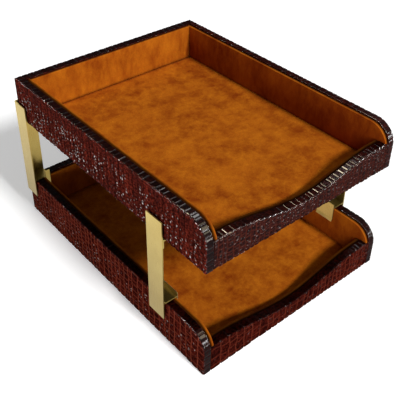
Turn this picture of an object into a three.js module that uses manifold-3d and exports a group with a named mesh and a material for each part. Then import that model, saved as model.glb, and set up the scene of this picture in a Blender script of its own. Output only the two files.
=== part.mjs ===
import * as THREE from 'three';
import Module from 'manifold-3d';

const wasm = await Module();
wasm.setup();

// All sizes are in millimetres. X runs to the right, Y to the back and Z up.
// The trays are drawn about their own middle, with the table at height zero.

// Outer size of one tray, and the step from the lower tray's base to the upper one's.
const trayWidth = 254;
const trayDepth = 332;
const trayHeight = 51.6;
const stackPitch = 134.5;

// Walls, measured over the leather, and the rounding of their edges.
const sideThickness = 9.6;
const backThickness = 12;
const frontThickness = 10.3;
const leather = 1.2;
const cornerRadius = 24;
const outerRound = 1.8;
const innerRound = 1;

// The front panel is low, with a scoop in the middle for a thumb.
const frontEndHeight = 33;
const frontMiddleHeight = 18.5;
const scoopHalfWidth = 102.6;

// Base, floor and lining. A shadow groove stays open between the lining's top edge and the wall.
const baseCloth = 0.6;
const baseInset = 2.5;
const baseCornerRadius = 4;
const floorBoard = 5.2;
const floorLining = 2;
const lining = 2.9;
const liningDrop = 0.8;
const liningRound = 0.6;
const grooveWidth = 1.3;
const grooveDepth = 3;
const glueLine = 0.05;

// Brass posts. The side clearance lies between a plate and the leather beside it.
const brass = 1.2;
const sideClearance = 1.5;
const postWidth = 23.8;
const plateOverlapLower = 19.6;
const plateOverlapUpper = 21.5;
const plateCornerRadius = 0.8;
const bendRadius = 2;
const frontPostSetbackLeft = 58.2;
const frontPostSetbackRight = 51.2;

// The clip hooks over the lower tray's wall, and its lip runs down inside the lining.
const lipClearance = 0.3;
const lipDepth = 18.1;
const lipRise = 6;
const lipFlare = 1.2;
const lipFlareHeight = 4;
const cornerLipEnd = 19.5;
const cornerLipTopWidth = 6;
const cornerLipRise = 8.4;

// The ledge carries the upper tray.
const ledgeReach = 14;
const ledgeLegHeight = 9.6;
const ledgeBendRadius = 1.8;

// Fineness of the curves, and how far cutting bodies run past what they cut.
const arcSegments = 12;
const roundSegments = 3;
const scoopSegments = 24;
const overshoot = 12;

const halfWidth = trayWidth / 2;
const halfDepth = trayDepth / 2;
const innerHalfWidth = halfWidth - sideThickness;
const innerBack = halfDepth - backThickness;
const innerFront = -halfDepth + frontThickness;
const liningBase = lining + grooveWidth;
const linedHalfWidth = innerHalfWidth - glueLine - liningBase;
const linedBack = innerBack - glueLine - liningBase;
const linedFront = innerFront + glueLine + liningBase;
const wallBottom = baseCloth + glueLine;
const boardTop = wallBottom + floorBoard;
const liningBottom = boardTop + glueLine;
const floorTop = liningBottom + floorLining;
const plateBottom = trayHeight - plateOverlapLower;
const plateTop = stackPitch + plateOverlapUpper;
const plateInnerX = halfWidth + sideClearance;
const plateOuterX = plateInnerX + brass;
const plateInnerBack = halfDepth + sideClearance;
const plateOuterBack = plateInnerBack + brass;

// The planes that outlines are drawn on, each with its two directions and its depth direction.
const axisX = new THREE.Vector3(1, 0, 0);
const axisY = new THREE.Vector3(0, 1, 0);
const axisZ = new THREE.Vector3(0, 0, 1);
const sidePlane = new THREE.Matrix4().makeBasis(axisY, axisZ, axisX);
const frontPlane = new THREE.Matrix4().makeBasis(axisX, axisZ, axisY.clone().negate());
const floorPlane = new THREE.Matrix4();

// Turns a three.js geometry into a closed solid, joining its equal corners first.
function solidOf(geometry) {
  const flat = geometry.index ? geometry.toNonIndexed() : geometry;
  const position = flat.attributes.position;
  const known = new Map();
  const vertices = [];
  const corners = [];
  for (let corner = 0; corner < position.count; corner += 1) {
    const point = [position.getX(corner), position.getY(corner), position.getZ(corner)];
    const key = point.map((value) => Math.round(value * 1e5)).join(' ');
    if (!known.has(key)) {
      known.set(key, vertices.length / 3);
      vertices.push(...point);
    }
    corners.push(known.get(key));
  }
  const triangles = [];
  for (let start = 0; start < corners.length; start += 3) {
    const [first, second, third] = corners.slice(start, start + 3);
    if (first !== second && second !== third && third !== first) {
      triangles.push(first, second, third);
    }
  }
  return new wasm.Manifold(new wasm.Mesh({
    numProp: 3,
    vertProperties: new Float32Array(vertices),
    triVerts: new Uint32Array(triangles),
  }));
}

function geometryOf(solid) {
  const mesh = solid.getMesh();
  const positions = new Float32Array(mesh.vertProperties);
  const geometry = new THREE.BufferGeometry();
  geometry.setAttribute('position', new THREE.BufferAttribute(positions, 3));
  geometry.setIndex(new THREE.BufferAttribute(new Uint32Array(mesh.triVerts), 1));
  const faceted = geometry.toNonIndexed();
  faceted.computeVertexNormals();
  return faceted;
}

// Closed outline from corners given as [across, up, radius], with the radius left out when sharp.
function outlineOf(corners) {
  const points = [];
  corners.forEach(([across, up, radius = 0], index) => {
    const here = new THREE.Vector2(across, up);
    if (radius === 0) {
      points.push(here);
      return;
    }
    const before = corners.at(index - 1);
    const after = corners[(index + 1) % corners.length];
    const toBefore = new THREE.Vector2(before[0], before[1]).sub(here).normalize();
    const toAfter = new THREE.Vector2(after[0], after[1]).sub(here).normalize();
    const halfAngle = Math.acos(toBefore.dot(toAfter)) / 2;
    const inward = toBefore.clone().add(toAfter).normalize();
    const centre = here.clone().addScaledVector(inward, radius / Math.sin(halfAngle));
    const start = here.clone().addScaledVector(toBefore, radius / Math.tan(halfAngle)).sub(centre);
    const end = here.clone().addScaledVector(toAfter, radius / Math.tan(halfAngle)).sub(centre);
    const sweep = Math.atan2(start.cross(end), start.dot(end));
    for (let step = 0; step <= arcSegments; step += 1) {
      const turned = start.clone().rotateAround(new THREE.Vector2(), (sweep * step) / arcSegments);
      points.push(turned.add(centre));
    }
  });
  return new THREE.Shape(THREE.ShapeUtils.isClockWise(points) ? points.reverse() : points);
}

function rectangle(minimumX, minimumY, maximumX, maximumY, radius = 0) {
  return [
    [minimumX, minimumY, radius],
    [maximumX, minimumY, radius],
    [maximumX, maximumY, radius],
    [minimumX, maximumY, radius],
  ];
}

// A slab of an outline from one level to another, each end with its own rounded edge.
function slab(corners, plane, from, to, fromRound = 0, toRound = 0) {
  const shape = outlineOf(corners);
  const extrude = (start, end, round) => {
    const geometry = new THREE.ExtrudeGeometry(shape, {
      depth: end - start - 2 * round,
      bevelEnabled: round > 0,
      bevelThickness: round,
      bevelSize: round,
      bevelOffset: -round,
      bevelSegments: roundSegments,
    });
    geometry.translate(0, 0, start + round);
    geometry.applyMatrix4(plane);
    return solidOf(geometry);
  };
  if (fromRound === 0 && toRound === 0) {
    return extrude(from, to, 0);
  }
  return extrude(from, to + overshoot, fromRound).intersect(extrude(from - overshoot, to, toRound));
}

function block(minimum, maximum) {
  const size = maximum.map((value, axis) => value - minimum[axis]);
  const geometry = new THREE.BoxGeometry(...size);
  geometry.translate(...minimum.map((value, axis) => value + size[axis] / 2));
  return solidOf(geometry);
}

function mirrored(corners, side) {
  return corners.map(([across, up, radius]) => [side * across, up, radius]);
}

// Levels across the tray, written for the right side and turned over for the left one.
function levels(side, near, far, nearRound = 0, farRound = 0) {
  return side < 0 ? [-far, -near, farRound, nearRound] : [near, far, nearRound, farRound];
}

// Side outline in depth and height, with the large round at the front top corner.
function sideOutline(inset, back) {
  const front = -halfDepth + inset;
  const top = trayHeight - inset;
  return [[front, -overshoot], [back, -overshoot], [back, top], [front, top, cornerRadius - inset]];
}

function backOutline(reach, inset) {
  return rectangle(-reach, -overshoot, reach, trayHeight - inset);
}

// Height of the front panel's top edge: level ends that run into the scoop in a smooth wave.
function scoopHeight(across) {
  const share = Math.min(Math.abs(across) / scoopHalfWidth, 1);
  const dip = (1 + Math.cos(share * Math.PI)) / 2;
  return frontEndHeight - (frontEndHeight - frontMiddleHeight) * dip;
}

function frontOutline(reach, inset) {
  const corners = [[-reach, -overshoot], [reach, -overshoot], [reach, frontEndHeight - inset]];
  for (let step = scoopSegments; step >= -scoopSegments; step -= 1) {
    const across = (step / scoopSegments) * scoopHalfWidth;
    corners.push([across, scoopHeight(across) - inset]);
  }
  corners.push([-reach, frontEndHeight - inset]);
  return corners;
}

// A wedge on one side of the mitre at a back corner, either behind the mitre line or before it.
function mitreWedge(side, behind) {
  const along = (steps) => [
    halfWidth + steps * sideThickness,
    halfDepth + steps * backThickness,
  ];
  const [outerX, outerY] = along(2);
  const [innerX, innerY] = along(-2);
  const third = behind ? [innerX, outerY] : [outerX, innerY];
  const corners = mirrored([[outerX, outerY], [innerX, innerY], third], side);
  return slab(corners, floorPlane, -overshoot, trayHeight + overshoot);
}

// A wall is a board with leather wrapped over it. Both are cut to the room that the wall fills.
function wrappedWall(outer, board, room, cuts) {
  const trim = (solid) => cuts.reduce((left, cut) => left.subtract(cut), solid.intersect(room));
  return { core: trim(board), cover: trim(outer.subtract(board)) };
}

const aboveCloth = () => block(
  [-trayWidth, -trayDepth, wallBottom], [trayWidth, trayDepth, trayHeight + overshoot]);

function sideWall(side) {
  const outer = slab(sideOutline(0, halfDepth), sidePlane,
    ...levels(side, innerHalfWidth, halfWidth, innerRound, outerRound));
  const board = slab(sideOutline(leather, halfDepth + overshoot), sidePlane,
    ...levels(side, innerHalfWidth + leather, halfWidth - leather));
  return wrappedWall(outer, board, aboveCloth(), [mitreWedge(side, true)]);
}

function backWall() {
  const outer = slab(
    backOutline(halfWidth, 0), frontPlane, -halfDepth, -innerBack, outerRound, innerRound);
  const board = slab(
    backOutline(halfWidth + overshoot, leather), frontPlane, -halfDepth + leather, -innerBack - leather);
  return wrappedWall(outer, board, aboveCloth(), [mitreWedge(-1, false), mitreWedge(1, false)]);
}

function frontWall() {
  const reach = innerHalfWidth + overshoot;
  const outer = slab(
    frontOutline(reach, 0), frontPlane, -innerFront, halfDepth, innerRound, outerRound);
  const board = slab(
    frontOutline(reach, leather), frontPlane, -innerFront + leather, halfDepth - leather);
  const room = block(
    [glueLine - innerHalfWidth, -halfDepth - overshoot, wallBottom],
    [innerHalfWidth - glueLine, 0, trayHeight]);
  return wrappedWall(outer, board, room, []);
}

// A lining board has a thin upper edge, so that the groove beside the wall stays open.
function liningBoard(outlineAt, plane, wallLevel, toInside, room) {
  const spans = [[lining, liningDrop], [liningBase, liningDrop + grooveDepth]];
  const innerLevel = wallLevel + toInside * (glueLine + liningBase);
  const [edge, backing] = spans.map(([thickness, inset]) => {
    const outerLevel = innerLevel - toInside * thickness;
    return toInside > 0
      ? slab(outlineAt(inset), plane, outerLevel, innerLevel, 0, liningRound)
      : slab(outlineAt(inset), plane, innerLevel, outerLevel, liningRound, 0);
  });
  return edge.add(backing).intersect(room);
}

// The side lining stands on the floor board and reaches forward over the front panel.
function sideLining(side) {
  const room = block(
    [-trayWidth, -trayDepth, liningBottom], [trayWidth, innerBack - glueLine, trayHeight]);
  const frontPanel = block(
    [-trayWidth, -trayDepth, 0], [trayWidth, innerFront + glueLine, frontEndHeight + glueLine]);
  const outlineAt = (inset) => sideOutline(inset, innerBack + overshoot);
  return liningBoard(outlineAt, sidePlane, side * innerHalfWidth, -side, room).subtract(frontPanel);
}

function backLining() {
  const reach = linedHalfWidth - glueLine;
  const room = block([-reach, 0, liningBottom], [reach, innerBack, trayHeight]);
  const outlineAt = (inset) => backOutline(halfWidth, inset);
  return liningBoard(outlineAt, frontPlane, -innerBack, 1, room);
}

function frontLining() {
  const reach = linedHalfWidth - glueLine;
  const room = block([-reach, innerFront, liningBottom], [reach, 0, trayHeight]);
  const outlineAt = (inset) => frontOutline(halfWidth, inset);
  return liningBoard(outlineAt, frontPlane, -innerFront, -1, room);
}

// The floor is set in between what stands round it.
function floorLayer(reach, front, back, bottom, top) {
  return block(
    [glueLine - reach, front + glueLine, bottom], [reach - glueLine, back - glueLine, top]);
}

function clothLayer() {
  const corners = rectangle(
    -halfWidth + baseInset, -halfDepth + baseInset,
    halfWidth - baseInset, halfDepth - baseInset, baseCornerRadius);
  return slab(corners, floorPlane, 0, baseCloth);
}

const finishes = {
  leather: { color: 0x4a1f1c, roughness: 0.35, metalness: 0 },
  board: { color: 0x9a7b56, roughness: 0.9, metalness: 0 },
  suede: { color: 0xb0621c, roughness: 0.95, metalness: 0 },
  cloth: { color: 0x2b1a16, roughness: 1, metalness: 0 },
  brass: { color: 0xd9bd6a, roughness: 0.22, metalness: 1 },
};

function addPiece(group, name, solid, finish) {
  const mesh = new THREE.Mesh(geometryOf(solid), new THREE.MeshStandardMaterial(finishes[finish]));
  mesh.name = name;
  group.add(mesh);
}

function buildTray(prefix) {
  const tray = new THREE.Group();
  const walls = {
    left: sideWall(-1),
    right: sideWall(1),
    back: backWall(),
    front: frontWall(),
  };
  const linings = {
    left: sideLining(-1),
    right: sideLining(1),
    back: backLining(),
    front: frontLining(),
  };
  for (const place of Object.keys(walls)) {
    addPiece(tray, `${prefix}_${place}_core`, walls[place].core, 'board');
    addPiece(tray, `${prefix}_${place}_cover`, walls[place].cover, 'leather');
    addPiece(tray, `${prefix}_${place}_lining`, linings[place], 'suede');
  }
  addPiece(tray, `${prefix}_floor_board`,
    floorLayer(innerHalfWidth, innerFront, innerBack, wallBottom, boardTop), 'board');
  addPiece(tray, `${prefix}_floor_lining`,
    floorLayer(linedHalfWidth, linedFront, linedBack, liningBottom, floorTop), 'suede');
  addPiece(tray, `${prefix}_base_cloth`, clothLayer(), 'cloth');
  return tray;
}

// A front post is a flat plate beside the trays, with a clip low down and a ledge higher up.
function clipSection() {
  const lipOuter = linedHalfWidth - lipClearance;
  const lipInner = lipOuter - brass;
  const lipTop = trayHeight + lipRise;
  const flangeTop = trayHeight + brass;
  const lipBottom = trayHeight - lipDepth;
  const flareStart = lipBottom + lipFlareHeight;
  return [
    [plateInnerX, trayHeight],
    [plateInnerX, flangeTop],
    [lipOuter, flangeTop],
    [lipOuter, lipTop],
    [lipInner, lipTop],
    [lipInner, flareStart],
    [lipInner - lipFlare, lipBottom],
    [lipOuter - lipFlare, lipBottom],
    [lipOuter, flareStart],
    [lipOuter, trayHeight],
  ];
}

function ledgeSection() {
  const legInner = plateInnerX - brass;
  const underside = stackPitch - brass;
  const legBottom = stackPitch - ledgeLegHeight;
  const ledgeEnd = plateInnerX - ledgeReach;
  return [
    [plateInnerX, legBottom],
    [plateInnerX, stackPitch, ledgeBendRadius],
    [ledgeEnd, stackPitch],
    [ledgeEnd, underside],
    [legInner, underside, ledgeBendRadius - brass],
    [legInner, legBottom],
  ];
}

function addFrontPost(group, name, side, setback) {
  const front = -halfDepth + setback;
  const back = front + postWidth;
  const plate = rectangle(front, plateBottom, back, plateTop, plateCornerRadius);
  const sections = { clip: clipSection(), ledge: ledgeSection() };
  addPiece(group, `${name}_plate`,
    slab(plate, sidePlane, ...levels(side, plateInnerX, plateOuterX)), 'brass');
  for (const [part, section] of Object.entries(sections)) {
    addPiece(group, `${name}_${part}`,
      slab(mirrored(section, side), frontPlane, -back, -front), 'brass');
  }
}

// A back post is an angle bent round the corner. These outlines are seen from above.
function bentLeg(outerX, outerY, radius, reach) {
  const innerX = outerX - brass;
  const innerY = outerY - brass;
  return [
    [outerX, outerY - reach],
    [outerX, outerY, radius],
    [outerX - reach, outerY],
    [outerX - reach, innerY],
    [innerX, innerY, Math.max(radius - brass, 0)],
    [innerX, outerY - reach],
  ];
}

function cornerPlate(endX, endY, radius) {
  return [
    [endX, endY],
    [plateInnerX, endY],
    [plateInnerX, plateInnerBack, radius],
    [endX, plateInnerBack],
  ];
}

function addCornerPost(group, name, side) {
  const across = (corners, bottom, top) => slab(mirrored(corners, side), floorPlane, bottom, top);
  const insideRadius = bendRadius - brass;
  const angle = bentLeg(plateOuterX, plateOuterBack, bendRadius, postWidth);
  addPiece(group, `${name}_angle`, across(angle, plateBottom, plateTop), 'brass');

  const lipBack = linedBack - lipClearance;
  const lipFront = lipBack - brass;
  const lipEnd = halfWidth - cornerLipEnd;
  const flange = cornerPlate(lipEnd, lipFront, insideRadius);
  const lip = rectangle(lipEnd, lipFront, linedHalfWidth - lipClearance, lipBack);
  const riser = rectangle(lipEnd, lipFront, lipEnd + cornerLipTopWidth, lipBack);
  const clip = across(flange, trayHeight, trayHeight + brass)
    .add(across(lip, trayHeight - lipDepth, trayHeight + brass))
    .add(across(riser, trayHeight, trayHeight + cornerLipRise));
  addPiece(group, `${name}_clip`, clip, 'brass');

  const shelf = cornerPlate(plateInnerX - ledgeReach, plateInnerBack - ledgeReach, insideRadius);
  const leg = bentLeg(plateInnerX, plateInnerBack, insideRadius, ledgeReach);
  const ledge = across(shelf, stackPitch - brass, stackPitch)
    .add(across(leg, stackPitch - ledgeLegHeight, stackPitch));
  addPiece(group, `${name}_ledge`, ledge, 'brass');
}

const letterTray = new THREE.Group();
letterTray.add(buildTray('lower'));
const upperTray = buildTray('upper');
upperTray.position.z = stackPitch;
letterTray.add(upperTray);
addFrontPost(letterTray, 'front_left_post', -1, frontPostSetbackLeft);
addFrontPost(letterTray, 'front_right_post', 1, frontPostSetbackRight);
addCornerPost(letterTray, 'back_left_post', -1);
addCornerPost(letterTray, 'back_right_post', 1);

// Only the back posts stand out past the trays, so the whole stack moves forward by half of that.
letterTray.position.y = (halfDepth - plateOuterBack) / 2;

export default letterTray;
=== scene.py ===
import math

import bmesh
import bpy
import numpy as np
from mathutils import Matrix, Vector
from mathutils.bvhtree import BVHTree


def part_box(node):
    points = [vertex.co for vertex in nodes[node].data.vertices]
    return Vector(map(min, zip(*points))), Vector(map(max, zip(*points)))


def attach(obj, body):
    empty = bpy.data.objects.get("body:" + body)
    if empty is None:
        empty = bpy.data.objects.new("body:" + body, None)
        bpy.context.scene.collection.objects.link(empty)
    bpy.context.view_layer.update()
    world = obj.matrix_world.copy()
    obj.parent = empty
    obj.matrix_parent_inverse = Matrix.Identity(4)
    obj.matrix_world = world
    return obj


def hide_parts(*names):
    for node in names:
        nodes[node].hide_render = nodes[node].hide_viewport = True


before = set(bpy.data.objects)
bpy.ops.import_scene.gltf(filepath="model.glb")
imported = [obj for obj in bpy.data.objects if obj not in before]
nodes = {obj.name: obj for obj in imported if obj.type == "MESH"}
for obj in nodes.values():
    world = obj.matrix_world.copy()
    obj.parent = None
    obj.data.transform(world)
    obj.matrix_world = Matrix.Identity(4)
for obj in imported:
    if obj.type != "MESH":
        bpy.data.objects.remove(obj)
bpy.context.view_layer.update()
mm = 0.001
trayNames = ("lower", "upper")
wallNames = ("left", "right", "back", "front")
print("frame loaded:", len(nodes), "nodes")


def boxOf(name):
    low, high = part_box(name)
    return Vector(low), Vector(high)


def addObject(name, data):
    made = bpy.data.objects.new(name, data)
    bpy.context.collection.objects.link(made)
    return made


# camera at the place and angle of the photograph

cameraSetting = {
    "position": (-0.4122, -0.49235, 0.5631),
    "target": (0.03307, 0.03621, 0.08793),
    "rollDegrees": 0.606,
    "sensorWidth": 36,
    "lens": 62.86,
    "shift": (0.0083, -0.1262),
    "clip": (0.02, 30),
}


def makeCamera(setting):
    data = bpy.data.cameras.new("camera")
    camera = addObject("camera", data)
    position = Vector(setting["position"])
    forward = (Vector(setting["target"]) - position).normalized()
    level = forward.cross(Vector((0, 0, 1))).normalized()
    upright = level.cross(forward)
    roll = math.radians(setting["rollDegrees"])
    right = math.cos(roll) * level + math.sin(roll) * upright
    up = -math.sin(roll) * level + math.cos(roll) * upright
    turn = Matrix((right, up, -forward)).transposed()
    camera.matrix_world = Matrix.Translation(position) @ turn.to_4x4()
    data.sensor_width = setting["sensorWidth"]
    data.lens = setting["lens"]
    data.shift_x, data.shift_y = setting["shift"]
    data.clip_start, data.clip_end = setting["clip"]
    bpy.context.scene.camera = camera


makeCamera(cameraSetting)
bpy.context.scene.view_settings.view_transform = "Standard"
print("camera placed")


# floor, surroundings and lamps

strawTint = (1.0, 0.87, 0.62)

studio = {
    "floorSize": 9.0,
    "floorGap": 0.00005,       # m under the base cloth, so the two never share a plane
    "floorColour": (0.93, 0.93, 0.93, 1),
    "floorGlow": 0.30,         # only seen, not cast on the object, so the floor reads as white
    "fillStrength": 0.22,
    "aim": (0.0, 0.0, 0.1),
    "key": {"from": (0.05, -0.76, 0.66), "strength": 3.3, "softness": 11.0},
    # place, width and height in metres, and watts; a lamp with "glossOf" is mirrored by the
    # pieces of that finish alone and lights nothing else
    "lamps": {
        "side_lamp": {"place": (-1.4, -0.55, 0.20), "size": (0.40, 0.30), "watts": 9.0},
        "high_glint": {"place": (0.52, 0.20, 1.20), "size": (0.34, 0.34), "watts": 18.0,
                       "glossOf": "leather"},
        "slope_glint": {"place": (0.00, 0.46, 1.15), "size": (0.40, 0.32), "watts": 48.0,
                        "glossOf": "leather", "tint": strawTint},
        "curve_glint": {"place": (0.46, -0.95, 0.86), "size": (0.36, 0.36), "watts": 12.0,
                        "glossOf": "leather", "tint": strawTint},
        "left_glint": {"place": (-1.10, -0.05, 0.68), "size": (0.16, 0.16), "watts": 36.0,
                       "glossOf": "leather"},
        "low_left_glint": {"place": (-1.25, 0.75, 0.26), "size": (1.40, 0.10), "watts": 260.0,
                           "glossOf": "leather"},
        "low_front_glint": {"place": (0.80, -1.35, 0.30), "size": (1.20, 0.10), "watts": 55.0,
                            "glossOf": "leather"},
        "low_right_glint": {"place": (1.35, -0.55, 0.24), "size": (0.60, 0.10), "watts": 60.0,
                            "glossOf": "leather"},
        "low_back_glint": {"place": (-0.35, 1.45, 0.30), "size": (0.50, 0.10), "watts": 50.0,
                           "glossOf": "leather"},
        # a pale panel on the lower tray's floor, for the insides of the posts
        "tray_panel": {"place": (0.0, 0.0, 0.010), "size": (0.21, 0.28), "watts": 0.17,
                       "glossOf": "brass", "aim": (0.0, 0.0, 1.0)},
    },
}

piecesOf = {finish: bpy.data.collections.new(finish + "_pieces") for finish in ("leather", "brass")}


def makeLamp(name, setting):
    data = bpy.data.lights.new(name, "AREA")
    data.energy = setting["watts"]
    data.color = setting.get("tint", (1, 1, 1))
    data.shape = "RECTANGLE"
    data.size, data.size_y = setting["size"]
    lamp = addObject(name, data)
    lamp.location = setting["place"]
    aim = Vector(setting.get("aim", studio["aim"])) - Vector(setting["place"])
    lamp.rotation_euler = aim.to_track_quat("-Z", "Y").to_euler()
    if "glossOf" in setting:
        lamp.visible_diffuse = False
        lamp.light_linking.receiver_collection = piecesOf[setting["glossOf"]]


# one broad key light as even as daylight, so the floor is equally bright all over
def makeKey(setting):
    data = bpy.data.lights.new("key_light", "SUN")
    data.energy = setting["strength"]
    data.angle = math.radians(setting["softness"])
    lamp = addObject("key_light", data)
    lamp.rotation_euler = Vector(setting["from"]).to_track_quat("Z", "Y").to_euler()


# 1 where a surface is seen straight, in a mirror or through glass, 0 where it only gives light
def seenDirectly(tree):
    path = tree.nodes.new("ShaderNodeLightPath")
    seen = path.outputs["Is Camera Ray"]
    for name in ("Is Glossy Ray", "Is Transmission Ray"):
        either = tree.nodes.new("ShaderNodeMath")
        either.operation = "MAXIMUM"
        tree.links.new(seen, either.inputs[0])
        tree.links.new(path.outputs[name], either.inputs[1])
        seen = either.outputs[0]
    return seen


def makeWorld(strength):
    world = bpy.data.worlds.new("studio_light")
    bpy.context.scene.world = world
    world.use_nodes = True
    tree = world.node_tree
    tree.nodes.clear()
    level = tree.nodes.new("ShaderNodeMapRange")
    level.inputs["To Min"].default_value = strength
    level.inputs["To Max"].default_value = 1.0
    sky = tree.nodes.new("ShaderNodeBackground")
    sky.inputs["Color"].default_value = (1, 1, 1, 1)
    output = tree.nodes.new("ShaderNodeOutputWorld")
    tree.links.new(seenDirectly(tree), level.inputs["Value"])
    tree.links.new(level.outputs["Result"], sky.inputs["Strength"])
    tree.links.new(sky.outputs[0], output.inputs["Surface"])


def makeFloor(setting):
    mesh = bmesh.new()
    bmesh.ops.create_grid(mesh, x_segments=1, y_segments=1, size=setting["floorSize"] / 2)
    bmesh.ops.translate(mesh, verts=mesh.verts, vec=(0, 0, -setting["floorGap"]))
    data = bpy.data.meshes.new("studio_floor")
    mesh.to_mesh(data)
    mesh.free()
    floor = addObject("studio_floor", data)
    material = bpy.data.materials.new("pale_floor")
    material.use_nodes = True
    tree = material.node_tree
    shader = tree.nodes["Principled BSDF"]
    shader.inputs["Base Color"].default_value = setting["floorColour"]
    shader.inputs["Roughness"].default_value = 1.0
    shader.inputs["Specular IOR Level"].default_value = 0.0
    shader.inputs["Emission Color"].default_value = (1, 1, 1, 1)
    glow = tree.nodes.new("ShaderNodeMath")
    glow.operation = "MULTIPLY"
    glow.inputs[1].default_value = setting["floorGlow"]
    tree.links.new(seenDirectly(tree), glow.inputs[0])
    tree.links.new(glow.outputs[0], shader.inputs["Emission Strength"])
    data.materials.append(material)


makeFloor(studio)
makeWorld(studio["fillStrength"])
makeKey(studio["key"])
for name, setting in studio["lamps"].items():
    makeLamp(name, setting)
print("studio lit")


# materials

# short names for wiring a material
class Recipe:
    def __init__(self, name):
        self.material = bpy.data.materials.new(name)
        self.material.use_nodes = True
        self.tree = self.material.node_tree
        self.shader = self.tree.nodes["Principled BSDF"]

    def set(self, **values):
        for name, value in values.items():
            self.shader.inputs[name.replace("_", " ")].default_value = value

    def join(self, source, target):
        self.tree.links.new(source, target)

    def node(self, kind, **values):
        made = self.tree.nodes.new("ShaderNode" + kind)
        for name, value in values.items():
            setattr(made, name, value)
        return made

    def coordinates(self, scale=(1, 1, 1)):
        source = self.node("TexCoord")
        mapping = self.node("Mapping")
        mapping.inputs["Scale"].default_value = scale
        self.join(source.outputs["Object"], mapping.inputs["Vector"])
        return mapping.outputs["Vector"]

    def noise(self, vector, scale, detail=4.0, rough=0.55, distortion=0.0):
        made = self.node("TexNoise")
        made.inputs["Scale"].default_value = scale
        made.inputs["Detail"].default_value = detail
        made.inputs["Roughness"].default_value = rough
        made.inputs["Distortion"].default_value = distortion
        self.join(vector, made.inputs["Vector"])
        return made.outputs["Fac"]

    def span(self, value, low, high, toLow=0.0, toHigh=1.0):
        made = self.node("MapRange")
        made.inputs["From Min"].default_value = low
        made.inputs["From Max"].default_value = high
        made.inputs["To Min"].default_value = toLow
        made.inputs["To Max"].default_value = toHigh
        self.join(value, made.inputs["Value"])
        return made.outputs["Result"]

    def blend(self, factor, first, second, mode="MIX"):
        made = self.node("Mix", data_type="RGBA", blend_type=mode)
        for value, socket in ((factor, 0), (first, 6), (second, 7)):
            if isinstance(value, (int, float, tuple)):
                made.inputs[socket].default_value = value
            else:
                self.join(value, made.inputs[socket])
        return made.outputs[2]

    def combine(self, operation, first, second):
        made = self.node("Math", operation=operation)
        for socket, value in enumerate((first, second)):
            if isinstance(value, (int, float)):
                made.inputs[socket].default_value = value
            else:
                self.join(value, made.inputs[socket])
        return made.outputs[0]

    def times(self, first, second):
        return self.combine("MULTIPLY", first, second)

    # two values in the share given for the first
    def mixed(self, share, first, second):
        return self.combine("ADD", self.times(first, share), self.times(second, 1 - share))

    # a colour made darker or lighter by a value
    def shaded(self, colour, value):
        grey = self.node("CombineColor")
        for name in ("Red", "Green", "Blue"):
            self.join(value, grey.inputs[name])
        return self.blend(1.0, colour, grey.outputs[0], "MULTIPLY")

    def attribute(self, name):
        return self.node("Attribute", attribute_name=name).outputs["Fac"]

    def bump(self, height, strength, distance, onto=None):
        made = self.node("Bump")
        made.inputs["Strength"].default_value = strength
        made.inputs["Distance"].default_value = distance
        self.join(height, made.inputs["Height"])
        if onto is not None:
            self.join(onto, made.inputs["Normal"])
        return made.outputs["Normal"]

    def feed(self, socket, name):
        self.join(socket, self.shader.inputs[name])


# in every look below a noise gives scale, detail, roughness and distortion, a span the part of
# it that is used, a bump strength and distance, and gloss is the shader's roughness

leatherLook = {
    "tile": (0.072, 0.0078, 0.0041, 1),
    "tileDark": (0.018, 0.0022, 0.0016, 1),
    "crease": (0.300, 0.056, 0.030, 1),
    "creaseAmount": 0.50,
    "paintedGlint": (0.950, 0.860, 0.820, 1),     # painted glint: pale colour on the raised specks of the grain
    "paintedGlintAmount": 0.95,
    "clouds": (38, 3),
    "cloudSpan": (0.3, 0.7),
    "cloudShare": 0.5,         # the rest comes from the tone of the single tiles
    "grain": (420, 2),         # fine dark and light grain
    "grainSpan": (0.40, 0.60),
    "grainShade": (0.35, 1.55),
    "wrinkles": (560, 2, 0.5, 0.4),
    "wrinkleBump": (0.7, 0.0006),
    "shine": 0.0,
    "gloss": 0.30,
    "polish": (0.006, 1.0),    # coat on the tiles and on the raised specks
    "coatGloss": 0.14,
}


def makeLeather(look):
    recipe = Recipe("crocodile_leather")
    recipe.set(Specular_IOR_Level=look["shine"], Coat_Roughness=look["coatGloss"],
               Roughness=look["gloss"])
    spot = recipe.coordinates()
    cloudy = recipe.span(recipe.noise(spot, *look["clouds"]), *look["cloudSpan"])
    tone = recipe.span(recipe.attribute("tone"), 0, 1)
    base = recipe.blend(recipe.mixed(look["cloudShare"], cloudy, tone), look["tileDark"],
                        look["tile"])
    grains = recipe.span(recipe.noise(spot, *look["grain"]), *look["grainSpan"],
                         *look["grainShade"])
    crease = recipe.times(recipe.attribute("crease"), look["creaseAmount"])
    colour = recipe.blend(crease, recipe.shaded(base, grains), look["crease"])
    # painted glint: the specks are drawn pale in the base colour
    paintedGlint = recipe.times(recipe.attribute("paintedGlint"), look["paintedGlintAmount"])
    # painted light and shade wall by wall, in the creases and rings, and on the top edges with a
    # darker edge dye
    recipe.feed(recipe.blend(paintedGlint, recipe.shaded(colour, recipe.attribute("dyeAndPaintedShade")),
                             look["paintedGlint"]), "Base Color")
    recipe.feed(recipe.span(recipe.attribute("polish"), 0, 1, *look["polish"]), "Coat Weight")
    wrinkles = recipe.noise(spot, *look["wrinkles"])
    recipe.feed(recipe.bump(wrinkles, *look["wrinkleBump"]), "Normal")
    return recipe.material


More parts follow.
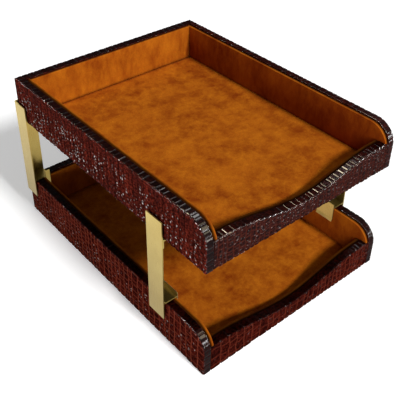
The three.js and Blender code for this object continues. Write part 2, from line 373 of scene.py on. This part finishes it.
suedeLook = {
    "light": (0.560, 0.172, 0.009, 1),
    "middle": (0.450, 0.115, 0.007, 1),
    "dark": (0.225, 0.038, 0.003, 1),
    "edge": 1.0,               # share of the colour that is left on the level top edges
    "frontEdgePaintedShade": 0.22,         # the same on the front panels, whose top edges carry painted shade
    "paintedShadeColour": (0.40, 0.11, 0.30, 1),      # painted shade: darker and redder colour, set wall by wall
    "suedePaintedShade": {"upper_right": 1.0, "lower_right": 0.6, "lower_back": 0.5},
    "clouds": (15, 5, 0.6),
    "cloudSpan": (0.40, 0.60),
    "cloudShare": 0.45,        # the rest comes from the blotches
    "blotches": (48, 6, 0.70, 0.15),
    "blotchSpan": (0.36, 0.64),
    "blotchBump": (0.12, 0.0005),
    "strokes": (210, 4, 0.65),
    "strokeSpan": (0.25, 0.75),
    "strokeAmount": 0.8,
    "stretch": (1, 1, 0.45),   # the blotches and strokes run up the walls
    "nap": (1500, 3),
    "napSpan": (0.25, 0.75),
    "napShade": (0.78, 1.18),
    "fibres": (2200, 4, 0.7),
    "fibreBump": (0.5, 0.0003),
    "shine": 0.01,
    "gloss": 0.95,
    "sheen": 0.02,
    "sheenGloss": 0.5,
    "sheenTint": (1.0, 0.5, 0.15, 1),
}


def makeSuede(look):
    recipe = Recipe("tan_suede")
    recipe.set(Roughness=look["gloss"], Specular_IOR_Level=look["shine"],
               Sheen_Weight=look["sheen"], Sheen_Roughness=look["sheenGloss"],
               Sheen_Tint=look["sheenTint"])
    spot = recipe.coordinates()
    upright = recipe.coordinates(look["stretch"])
    clouds = recipe.span(recipe.noise(spot, *look["clouds"]), *look["cloudSpan"])
    blotches = recipe.span(recipe.noise(upright, *look["blotches"]), *look["blotchSpan"])
    strokes = recipe.span(recipe.noise(upright, *look["strokes"]), *look["strokeSpan"])
    soft = recipe.blend(recipe.mixed(look["cloudShare"], clouds, blotches), look["dark"],
                        look["middle"])
    lit = recipe.blend(recipe.times(recipe.times(strokes, blotches), look["strokeAmount"]),
                       soft, look["light"])
    # painted shade on some walls, darker and redder
    shadeTint = recipe.blend(recipe.attribute("suedePaintedShade"), (1, 1, 1, 1), look["paintedShadeColour"])
    nap = recipe.span(recipe.noise(spot, *look["nap"]), *look["napSpan"], *look["napShade"])
    recipe.feed(recipe.shaded(recipe.blend(1.0, lit, shadeTint, "MULTIPLY"),
                              recipe.times(nap, recipe.attribute("edgeShade"))), "Base Color")
    fibres = recipe.noise(spot, *look["fibres"])
    folds = recipe.bump(blotches, *look["blotchBump"])
    recipe.feed(recipe.bump(fibres, *look["fibreBump"], folds), "Normal")
    return recipe.material


brassLook = {
    "pale": (0.580, 0.437, 0.128, 1),
    "warm": (0.475, 0.338, 0.085, 1),
    "tarnish": (26, 4),
    "tarnishSpan": (0.3, 0.7),
    "strokes": (2600, 3, 0.6),
    "strokeSpan": (0.25, 0.75),
    "strokeBump": (0.08, 0.00002),
    "stretch": (1, 1, 0.02),   # the brushing runs up the posts
    "gloss": 0.29,
    "glossSpread": (-0.05, 0.07),
    "metallic": 0.96,
    "footPaintedShade": 0.58,          # painted shade: share of the colour that is left at the feet of the posts, where they mirror darker things
    "paintedShadeHeights": (0.04, 0.16),
}


def makeBrass(look):
    recipe = Recipe("pale_brass")
    recipe.set(Metallic=look["metallic"])
    spot = recipe.coordinates()
    tarnish = recipe.span(recipe.noise(spot, *look["tarnish"]), *look["tarnishSpan"])
    parts = recipe.node("SeparateXYZ")
    recipe.join(spot, parts.inputs[0])
    # painted shade, growing darker towards the feet of the posts
    level = recipe.span(parts.outputs["Z"], *look["paintedShadeHeights"], look["footPaintedShade"], 1.0)
    recipe.feed(recipe.shaded(recipe.blend(tarnish, look["pale"], look["warm"]), level),
                "Base Color")
    strokes = recipe.noise(recipe.coordinates(look["stretch"]), *look["strokes"])
    rough = (look["gloss"] + spread for spread in look["glossSpread"])
    recipe.feed(recipe.span(strokes, *look["strokeSpan"], *rough), "Roughness")
    recipe.feed(recipe.bump(strokes, *look["strokeBump"]), "Normal")
    return recipe.material


feltLook = {
    "dark": (0.018, 0.011, 0.010, 1),
    "light": (0.045, 0.028, 0.024, 1),
    "flecks": (900, 4, 0.7),
    "fleckSpan": (0.3, 0.7),
    "fibres": (1800, 3),
    "fibreBump": (0.6, 0.0003),
    "shine": 0.1,
    "gloss": 0.95,
    "sheen": 0.15,
}


def makeCloth(look):
    recipe = Recipe("dark_base_cloth")
    recipe.set(Roughness=look["gloss"], Specular_IOR_Level=look["shine"],
               Sheen_Weight=look["sheen"])
    spot = recipe.coordinates()
    flecks = recipe.span(recipe.noise(spot, *look["flecks"]), *look["fleckSpan"])
    recipe.feed(recipe.blend(flecks, look["dark"], look["light"]), "Base Color")
    recipe.feed(recipe.bump(recipe.noise(spot, *look["fibres"]), *look["fibreBump"]), "Normal")
    return recipe.material


boardLook = {
    "dark": (0.30, 0.20, 0.11, 1),
    "light": (0.46, 0.34, 0.21, 1),
    "fibres": (300, 5),
    "fibreSpan": (0.3, 0.7),
    "fibreBump": (0.4, 0.0002),
    "stretch": (1, 1, 4),
    "shine": 0.2,
    "gloss": 0.85,
}


def makeBoard(look):
    recipe = Recipe("plain_board")
    recipe.set(Roughness=look["gloss"], Specular_IOR_Level=look["shine"])
    spot = recipe.coordinates(look["stretch"])
    fibres = recipe.span(recipe.noise(spot, *look["fibres"]), *look["fibreSpan"])
    recipe.feed(recipe.blend(fibres, look["dark"], look["light"]), "Base Color")
    recipe.feed(recipe.bump(fibres, *look["fibreBump"]), "Normal")
    return recipe.material


leatherMaterial = makeLeather(leatherLook)
suedeMaterial = makeSuede(suedeLook)
brassMaterial = makeBrass(brassLook)
clothMaterial = makeCloth(feltLook)
boardMaterial = makeBoard(boardLook)


def materialFor(name):
    if name.endswith(("_core", "_floor_board")):
        return boardMaterial
    if name.endswith("lining"):
        return suedeMaterial
    if name.endswith("_base_cloth"):
        return clothMaterial
    if "_post_" in name:
        return brassMaterial
    return leatherMaterial


for name, node in nodes.items():
    node.data.materials.clear()
    node.data.materials.append(materialFor(name))
    if "_post_" in name:
        piecesOf["brass"].objects.link(node)
print("materials made")


# embossed leather wraps

# lengths in mm
relief = {
    "gridStep": 0.62,          # between the lines of the fine mesh
    "creaseDepth": 0.62,
    "creaseWidth": 1.0,
    "edgeCrease": 0.5,         # share of the crease that is left on the walls' top edges
    "crown": 0.20,             # how much a tile falls off from its middle to its edges
    "columnSpread": 0.28,      # chance in the width of a column
    "rowSpread": (0.6, 1.4),   # and in the height of a tile
    "rowCount": 30,
    "tileTone": 0.4,           # how far single tiles and whole columns differ in tone
    "columnTone": 0.6,
    "sway": 0.8,               # how far the creases wander, and how soon they do it
    "swayLengths": (22, 14),
    "stripeWidth": 2.4,        # how far the painted shade of the upright creases reaches
    "stripeFaint": 0.35,       # how dark it still is where it fades
    "stripePatches": (0.5, 1.1, 17),           # see patchy for the three numbers
    "creaseShade": 0.8,
    "speckPatches": (0.55, 0.8, 34),
    "paintedRingShade": 0.6,          # painted shade in rings round the specks
    "ringGain": 1.5,
    "speckWidth": 0.44,
    "speckFade": 1.5,          # the higher, the fewer specks are bright
    "speckReach": (1.35, 2.4),                 # of a speck and of its ring, in speck sizes
    "beadHeight": 0.16,        # how far the specks with painted glints stand out
    "beadFree": (44, 30),      # above the base, where the specks start and are all there
    "tickShine": 0.5,          # pale ticks beside the creases on the top edges
    "tickNarrow": 3,
    "tickPatches": (0.35, 1.3, 3.4),
    "tickWaves": 9,
    "bandPolish": 0.02,        # plain polish of the top edges
    "bandTurn": 1.15,          # how soon a face that turns up counts as top edge
    "cornerRadius": 24.0,
    "frontReach": 60,          # columns laid out past the front, for the rim round the corner
    "insideFace": 0.99,        # faces that look this much inwards or down stay plain
    "downFace": 0.9,
    "againstBoard": 0.00003,   # m from the board at which a face counts as hidden
}

# one speck on the rim and one in the body of a tile: its place as a share of the tile, its
# length in mm, its turn in radians and its strength, none where that is below 0
speckKinds = [
    {"across": (0.15, 0.85), "up": (0.75, 1.0), "length": (0.5, 1.2), "turn": (-0.6, 1.2),
     "amount": (-0.5, 1.2)},
    {"across": (0.15, 0.85), "up": (0.3, 0.8), "length": (0.5, 1.2), "turn": (-0.6, 1.2),
     "amount": (-0.5, 1.2)},
]

# where the leather is rubbed bright
rubbed = {
    "rollSeed": 5,             # of the patches along the rolled edge
    "rollPatches": (0.6, 1, 6),
    "cornerStart": 52,         # mm from the front, and over how many mm it grows
    "cornerGrowth": 46,
    "cornerBand": 0.10,
    "cornerRoll": 0.5,
    "slopeStart": 0.12,        # the right slope of the scoops
    "slopeGrowth": 0.25,
    "slopeBand": 2.5,
    "slopeRoll": 6,
}

# columns and rows: mean lengths in mm from one end of the wall to the other
# rowDepth and lines: how plain the rows are, and the pale lines in the creases
# sparkle: how many specks with painted glints there are
# paintedLightLevel and edge: painted light and shade, how light the leather is drawn on the face
# and on the top edge of each wall for how the lamps reach it; on the top edge also a darker edge
# dye
# groove: how much painted shade darkens the creases
# haze: how much the face mirrors of the surroundings
# ticks: pale marks across the top edge
patterns = {
    "lower_left": {"columns": (9.5, 6.5), "rows": (8.0, 6.0), "seed": 11,
                   "rowDepth": 0.6, "lines": 1.5, "sparkle": 0.45, "paintedLightLevel": 0.86,
                   "groove": 0.15, "haze": 0.0, "ticks": 0.25, "edge": 0.18},
    "upper_left": {"columns": (7.5, 6.5), "rows": (4.2, 4.0), "seed": 12,
                   "rowDepth": 0.6, "lines": 0.1, "sparkle": 1.35, "paintedLightLevel": 1.75,
                   "groove": 0.75, "haze": 0.012, "ticks": 1.0, "edge": 0.2},
    "lower_right": {"columns": (8.0, 6.5), "rows": (8.0, 6.0), "seed": 13,
                    "rowDepth": 0.8, "lines": 0.8, "sparkle": 0.25, "paintedLightLevel": 1.0,
                    "groove": 0.3, "haze": 0.0, "ticks": 0.4, "edge": 0.25},
    "upper_right": {"columns": (8.0, 6.0), "rows": (6.0, 5.0), "seed": 14,
                    "rowDepth": 0.7, "lines": 0.4, "sparkle": 0.4, "paintedLightLevel": 1.0,
                    "groove": 0.5, "haze": 0.0, "ticks": 0.8, "edge": 0.5},
    "lower_back": {"columns": (8.5, 8.5), "rows": (8.0, 8.0), "seed": 15,
                   "rowDepth": 0.8, "lines": 0.8, "sparkle": 0.25, "paintedLightLevel": 1.0,
                   "groove": 0.3, "haze": 0.0, "ticks": 0.4, "edge": 0.18},
    "upper_back": {"columns": (7.5, 7.5), "rows": (6.0, 6.0), "seed": 16,
                   "rowDepth": 0.7, "lines": 0.4, "sparkle": 0.4, "paintedLightLevel": 1.0,
                   "groove": 0.5, "haze": 0.0, "ticks": 0.6, "edge": 0.2},
    "lower_front": {"columns": (12.5, 4.5), "rows": (11.0, 8.0), "seed": 17,
                    "rowDepth": 0.7, "lines": 1.0, "sparkle": 0.1, "paintedLightLevel": 0.7,
                    "groove": 0.1, "haze": 0.0, "ticks": 0.4, "edge": 0.18},
    "upper_front": {"columns": (6.5, 5.5), "rows": (4.8, 4.4), "seed": 18,
                    "rowDepth": 0.9, "lines": 0.85, "sparkle": 0.12, "paintedLightLevel": 0.37,
                    "groove": 0.0, "haze": 0.08, "ticks": 0.8, "edge": 0.34},
}


def soften(value):
    value = np.clip(value, 0, 1)
    return value * value * (3 - 2 * value)


# a wander between about -1 and 1, of waves that are half to one and a half times the length
def drift(along, across, random, length, waves=6):
    total = np.zeros_like(along)
    for _ in range(waves):
        turn = random.uniform(0, 2 * math.pi)
        size = random.uniform(0.5, 1.6) * 2 * math.pi / length
        phase = random.uniform(0, 2 * math.pi)
        total += np.sin((along * math.cos(turn) + across * math.sin(turn)) * size + phase)
    return total / waves * 1.8


# patches between 0 and 1, from how common they are, how sharp they are and their length
def patchy(along, across, random, common, sharp, length, waves=6):
    return soften(common + sharp * drift(along, across, random, length, waves))


# a length that runs from the first to the last over the span
def lengthAt(spot, span, lengths):
    share = min(max((spot - span[0]) / (span[1] - span[0]), 0), 1)
    return lengths[0] + (lengths[1] - lengths[0]) * share


# the columns' edges, the tiles' edges up each column and the tiles' tones
def layTiles(span, pattern, random):
    edges = [span[0] - pattern["columns"][0] * random.uniform(0, 1)]
    spread = relief["columnSpread"]
    while edges[-1] < span[1]:
        length = lengthAt(edges[-1], span, pattern["columns"])
        edges.append(edges[-1] + length * random.uniform(1 - spread, 1 + spread))
    columns = np.array(edges)
    rows = np.zeros((len(columns), relief["rowCount"]))
    for index, start in enumerate(columns):
        length = lengthAt(start, span, pattern["rows"])
        heights = random.uniform(*relief["rowSpread"], relief["rowCount"]) * length
        rows[index] = np.cumsum(heights) - 2 * length
    tones = random.uniform(0, relief["tileTone"], (len(columns), relief["rowCount"] + 1))
    tones += random.uniform(0, relief["columnTone"], (len(columns), 1))
    return columns, rows, tones


# the column that each place is in, its two edges and how far the nearer one is
def columnAt(columns, position):
    index = np.clip(np.searchsorted(columns, position) - 1, 0, len(columns) - 2)
    left, right = columns[index], columns[index + 1]
    return index, left, right, np.minimum(position - left, right - position)


def creaseAt(distance):
    return 1 - soften(np.abs(distance) / relief["creaseWidth"])


def depthOf(crease, fall):
    return relief["creaseDepth"] * crease + relief["crown"] * np.minimum(fall, 2)


# tiles on a wall's face: depth, crease, tone, specks, the rings of painted shade round them and the
# painted shade of the stripes
def faceTiles(position, height, tiles, specks, rowDepth):
    columns, rows, tones = tiles
    index, left, right, aside = columnAt(columns, position)
    edges = rows[index]
    row = np.clip((height[:, None] >= edges).sum(axis=1), 1, relief["rowCount"] - 1)
    point = np.arange(len(index))
    bottom, top = edges[point, row - 1], edges[point, row]
    crease = np.maximum(creaseAt(aside),
                        creaseAt(np.minimum(height - bottom, top - height)) * rowDepth)
    fall = (2 * (position - left) / (right - left) - 1) ** 2
    fall = fall + (2 * (height - bottom) / (top - bottom) - 1) ** 2
    speck, ring = np.zeros(len(index)), np.zeros(len(index))
    speckReach, ringReach = relief["speckReach"]
    for kind in specks:
        mark = {name: values[index, row] for name, values in kind.items()}
        beside = position - left - mark["across"] * (right - left)
        above = height - bottom - mark["up"] * (top - bottom)
        cos, sin = np.cos(mark["turn"]), np.sin(mark["turn"])
        away = np.hypot((beside * cos + above * sin) / mark["length"],
                        (above * cos - beside * sin) / relief["speckWidth"])
        strength = np.clip(mark["amount"], 0, 1) ** relief["speckFade"]
        speck = np.maximum(speck, soften(speckReach - away) * strength)
        ring = np.maximum(ring, soften(ringReach - away) * strength)
    stripe = 1 - soften(aside / relief["stripeWidth"])
    return depthOf(crease, fall), crease, tones[index, row], speck, ring, stripe


# columns alone, which run over a wall's top edge
def bandTiles(position, columns):
    _, left, right, aside = columnAt(columns, position)
    crease = creaseAt(aside)
    return depthOf(crease, (2 * (position - left) / (right - left) - 1) ** 2), crease


# depth below the leather's face in mm, then marks for creases, tone of the tiles, polish, painted
# glints, and dye with painted light and shade
def emboss(along, across, band, span, pattern, alongBand):
    random = np.random.default_rng(pattern["seed"])
    tiles = layTiles(span, pattern, random)
    sway, swayUp = (relief["sway"] * drift(along, across, random, length)
                    for length in relief["swayLengths"])
    clusters = patchy(along, across, random, *relief["speckPatches"])
    breaks = patchy(along, across, random, *relief["tickPatches"], relief["tickWaves"])
    shape = tiles[2].shape
    specks = [{name: random.uniform(*limits, shape) for name, limits in kind.items()}
              for kind in speckKinds]
    depth, crease, tone, speck, ring, stripe = faceTiles(along + sway, across + swayUp, tiles,
                                                         specks, pattern["rowDepth"])
    bandDepth, bandCrease = bandTiles(alongBand + sway, tiles[0])
    face = 1 - band
    start, full = relief["beadFree"]
    sown = np.minimum(clusters * pattern["sparkle"], 1) * face
    sown = sown * soften((start - across) / (start - full))
    # specks that carry a painted glint, also raised as beads and polished
    paintedGlint = speck * sown
    depth = depth + relief["beadHeight"] * (1 - paintedGlint)
    shoulder = 4 * bandCrease * (1 - bandCrease)
    ticks = relief["tickShine"] * pattern["ticks"] * shoulder ** relief["tickNarrow"] * breaks
    patches = patchy(along * 2, across, random, *relief["stripePatches"])
    # painted shade in the creases and along the upright stripes
    faint = relief["stripeFaint"]
    dark = pattern["groove"] * np.maximum(stripe * (faint + (1 - faint) * patches),
                                          relief["creaseShade"] * crease)
    # painted shade: dark rings round the specks
    paintedRing = relief["paintedRingShade"] * ring * np.minimum(sown * relief["ringGain"], 1)
    paintedLightLevel = (1 - dark) * (1 - paintedRing)
    # painted light level of each wall's face, and painted shade with a darker edge dye on the top
    # edge
    return (depth * face + bandDepth * band * relief["edgeCrease"],
            {"crease": crease * pattern["lines"] * face, "tone": tone,
             "polish": paintedGlint + pattern["haze"] * face + (relief["bandPolish"] + ticks) * band,
             "paintedGlint": paintedGlint,
             "dyeAndPaintedShade": pattern["paintedLightLevel"] * paintedLightLevel * face + pattern["edge"] * band})


# length along a side wall's rim: level on top, round the front corner and down the front
def rimLength(y, z, front, top, radius):
    centreY, centreZ = front + radius, top - radius
    angle = np.arctan2(centreY - y, z - centreZ)
    inCorner = (y < centreY) & (z > centreZ)
    down = (z <= centreZ) & (y < centreY)
    length = np.where(inCorner, centreY - radius * angle, y)
    return np.where(down, centreY - radius * math.pi / 2 - (centreZ - z), length)


# a node's solid with its loose triangles joined and its flat faces whole
def wholeCopy(nodeName):
    mesh = bmesh.new()
    mesh.from_mesh(nodes[nodeName].data)
    bmesh.ops.remove_doubles(mesh, verts=mesh.verts, dist=1e-6)
    bmesh.ops.dissolve_limit(mesh, angle_limit=math.radians(0.3), verts=mesh.verts,
                             edges=mesh.edges)
    return mesh


# cuts some of a mesh by planes a step apart, and returns what is then there of it
def cutGrid(mesh, geometry, low, high, axes, step):
    for axis in axes:
        count = max(2, round((high[axis] - low[axis]) / step))
        normal = Vector([1.0 if index == axis else 0.0 for index in range(3)])
        for cut in range(1, count):
            geometry = bmesh.ops.bisect_plane(mesh, geom=geometry, dist=1e-7,
                                              plane_co=low.lerp(high, cut / count),
                                              plane_no=normal)["geom"]
    return geometry


def meshFrom(mesh, name):
    data = bpy.data.meshes.new(name)
    mesh.to_mesh(data)
    mesh.free()
    return data


# places and normals of a mesh's corners
def cornersOf(data):
    arrays = []
    for name in ("co", "normal"):
        values = np.empty(len(data.vertices) * 3)
        data.vertices.foreach_get(name, values)
        arrays.append(values.reshape(-1, 3))
    return arrays


def writeMarks(data, marks):
    for name, values in marks.items():
        layer = data.attributes.new(name, "FLOAT", "POINT")
        layer.data.foreach_set("value", values.astype(np.float32))


# a copy of a leather wrap whose shown faces are cut into a fine grid
def fineCopy(nodeName, coreName, along, inward):
    mesh = wholeCopy(nodeName)
    core = bmesh.new()
    core.from_mesh(nodes[coreName].data)
    hidden = BVHTree.FromBMesh(core)
    core.free()
    shown = []
    for face in mesh.faces:
        gap = hidden.find_nearest(face.calc_center_median())[3]
        insideFace = face.normal.dot(inward) > relief["insideFace"]
        downFace = face.normal.z <= -relief["downFace"]
        if gap >= relief["againstBoard"] and not insideFace and not downFace:
            shown.append(face)
    # each edge and corner once, always in the same order
    geometry = list(dict.fromkeys(edge for face in shown for edge in face.edges))
    geometry += list(dict.fromkeys(corner for face in shown for corner in face.verts))
    geometry += shown
    low, high = boxOf(nodeName)
    geometry = cutGrid(mesh, geometry, low, high, (along, 2, 1 - along), relief["gridStep"] * mm)
    mesh.verts.index_update()
    shownCorners = set()
    for item in geometry:
        if isinstance(item, bmesh.types.BMFace):
            item.smooth = True
            shownCorners.update(corner.index for corner in item.verts)
    return mesh, list(shownCorners)


inwards = {"left": (1, 0, 0), "right": (-1, 0, 0), "back": (0, -1, 0), "front": (0, 1, 0)}


def makeWrap(tray, wall):
    nodeName = f"{tray}_{wall}_cover"
    along = 1 if wall in ("left", "right") else 0
    mesh, shown = fineCopy(nodeName, f"{tray}_{wall}_core", along, Vector(inwards[wall]))
    data = meshFrom(mesh, f"leather_{tray}_{wall}")
    points, normals = cornersOf(data)
    low, high = (corner / mm for corner in boxOf(nodeName))
    x, y, z = points[:, 0] / mm, points[:, 1] / mm, points[:, 2] / mm - low.z
    if along == 1:
        span = (low.y - relief["frontReach"], high.y)
        alongFace = y
        alongBand = rimLength(y, z, low.y, high.z - low.z, relief["cornerRadius"])
    else:
        span = (low.x, high.x)
        alongFace = alongBand = x
    band = 1 - soften(np.abs(normals[:, 1 - along]) * relief["bandTurn"])
    pattern = patterns[f"{tray}_{wall}"]
    depth, marks = emboss(alongFace, z, band, span, pattern, alongBand)
    patches = patchy(x, y + z, np.random.default_rng(rubbed["rollSeed"]),
                     *rubbed["rollPatches"])
    roll = 4 * band * (1 - band) * patches
    if along == 1:
        turned = soften((low.y + rubbed["cornerStart"] - y) / rubbed["cornerGrowth"])
        marks["polish"] += turned * (rubbed["cornerBand"] * band + rubbed["cornerRoll"] * roll)
    elif wall == "front":
        slope = soften((-normals[:, 0] - rubbed["slopeStart"]) / rubbed["slopeGrowth"])
        marks["polish"] += pattern["haze"] * (rubbed["slopeBand"] * slope * band
                                              + rubbed["slopeRoll"] * roll)
    mask = np.zeros(len(points))
    mask[shown] = 1
    for name in ("crease", "polish", "paintedGlint"):
        marks[name] = marks[name] * mask
    data.vertices.foreach_set("co", (points - normals * (depth * mask * mm)[:, None]).ravel())
    writeMarks(data, marks)
    data.materials.append(leatherMaterial)
    wrap = addObject(f"leather_{tray}_{wall}", data)
    piecesOf["leather"].objects.link(wrap)
    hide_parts(nodeName)
    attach(wrap, f"{tray}_tray")
    print(wrap.name, len(data.polygons), "faces")


for tray in trayNames:
    for wall in wallNames:
        makeWrap(tray, wall)
print("leather embossed")


# suede over the lining boards, and the felt under the trays

cloth = {
    "gridStep": 5.0,           # lengths in mm
    "suedeWaves": (0.16, 0.5, 0.4, 70.0),      # depth, then the three numbers of patchy
    "feltWaves": (0.08, 0.5, 0.4, 9.0),
    "seed": 31,
    "levelFace": 0.98,         # a wide face waves where its normals are straighter than this
    "levelSharp": 50,
    "topFace": 0.5,            # a face that looks up more than this is part of the top edge
    "groovePart": (0.1, 0.9),  # of the linings' thickness, the part that lies in the groove
    "grooveShade": 0.85,       # painted shade: how much the linings' top edges darken towards the groove
    "grooveSoon": 1.8,
    "paintedShadeLength": 200.0,        # painted shade: from the front, the length over which it grows more and more
    "paintedShadeDepth": (0.5, 0.6),    # how strong the painted shade is everywhere, and how much more at the front near the floor
}


# a copy of a thin covered board, cut into a grid and made slightly uneven on its wide faces
def makeSoftCover(nodeName, pieceName, body, material, waves, seed, edge=1.0,
                  suedePaintedShade=0.0):
    mesh = wholeCopy(nodeName)
    low, high = boxOf(nodeName)
    size = high - low
    thin = min(range(3), key=lambda axis: size[axis])
    wide = [axis for axis in range(3) if axis != thin]
    cutGrid(mesh, list(mesh.verts) + list(mesh.edges) + list(mesh.faces), low, high, wide,
            cloth["gridStep"] * mm)
    for face in mesh.faces:
        face.smooth = True
    rim = np.array([float(any(face.normal.z > cloth["topFace"] for face in corner.link_faces))
                    for corner in mesh.verts]) * (thin != 2)
    data = meshFrom(mesh, pieceName)
    points, normals = cornersOf(data)
    across, up = (points[:, axis] / mm for axis in wide)
    depth, *patches = waves
    uneven = patchy(across, up, np.random.default_rng(seed), *patches)
    facing = soften((np.abs(normals[:, thin]) - cloth["levelFace"]) * cloth["levelSharp"])
    inset = (uneven * depth * mm * facing)[:, None]
    data.vertices.foreach_set("co", (points - normals * inset).ravel())
    outer = (points[:, thin] - low[thin]) / size[thin]
    if low[thin] + high[thin] < 0:
        outer = 1 - outer
    inner, outermost = cloth["groovePart"]
    rim[(outer > inner) & (outer < outermost)] = thin != 2
    # painted shade on the linings' top edges, darker towards the groove and on the front panels
    left = edge * (1 - cloth["grooveShade"] * soften(outer * cloth["grooveSoon"]))
    # painted shade, set per wall and darker towards the front and the floor
    nearFront = np.clip(1 - (points[:, 1] - low.y) / (cloth["paintedShadeLength"] * mm), 0, 1)
    nearFloor = np.clip(1 - (points[:, 2] - low.z) / size.z, 0, 1)
    shadeEverywhere, shadeNearFrontFloor = cloth["paintedShadeDepth"]
    down = suedePaintedShade * (shadeEverywhere + shadeNearFrontFloor * nearFront * nearFloor)
    writeMarks(data, {"edgeShade": 1 - (1 - left) * rim, "suedePaintedShade": down * (1 - rim)})
    data.materials.append(material)
    piece = addObject(pieceName, data)
    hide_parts(nodeName)
    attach(piece, body)


for number, tray in enumerate(trayNames):
    seed = cloth["seed"] + 10 * number
    for index, wall in enumerate(wallNames):
        edge = suedeLook["frontEdgePaintedShade"] if wall == "front" else suedeLook["edge"]
        makeSoftCover(f"{tray}_{wall}_lining", f"suede_{tray}_{wall}", f"{tray}_tray",
                      suedeMaterial, cloth["suedeWaves"], seed + index, edge,
                      suedeLook["suedePaintedShade"].get(f"{tray}_{wall}", 0.0))
    makeSoftCover(f"{tray}_floor_lining", f"suede_{tray}_floor", f"{tray}_tray",
                  suedeMaterial, cloth["suedeWaves"], seed + 5)
    makeSoftCover(f"{tray}_base_cloth", f"felt_{tray}_base", f"{tray}_tray",
                  clothMaterial, cloth["feltWaves"], seed + 7)
print("suede and felt laid")


# softened brass edges

brassEdge = {"weld": 1e-6, "width": 0.00032, "segments": 3, "sharpDegrees": 40}

for name, node in nodes.items():
    if "_post_" in name:
        weld = node.modifiers.new("weld", "WELD")
        weld.merge_threshold = brassEdge["weld"]
        bevel = node.modifiers.new("soft_edge", "BEVEL")
        bevel.width = brassEdge["width"]
        bevel.segments = brassEdge["segments"]
        bevel.limit_method = "ANGLE"
        bevel.angle_limit = math.radians(brassEdge["sharpDegrees"])
print("brass edges softened")
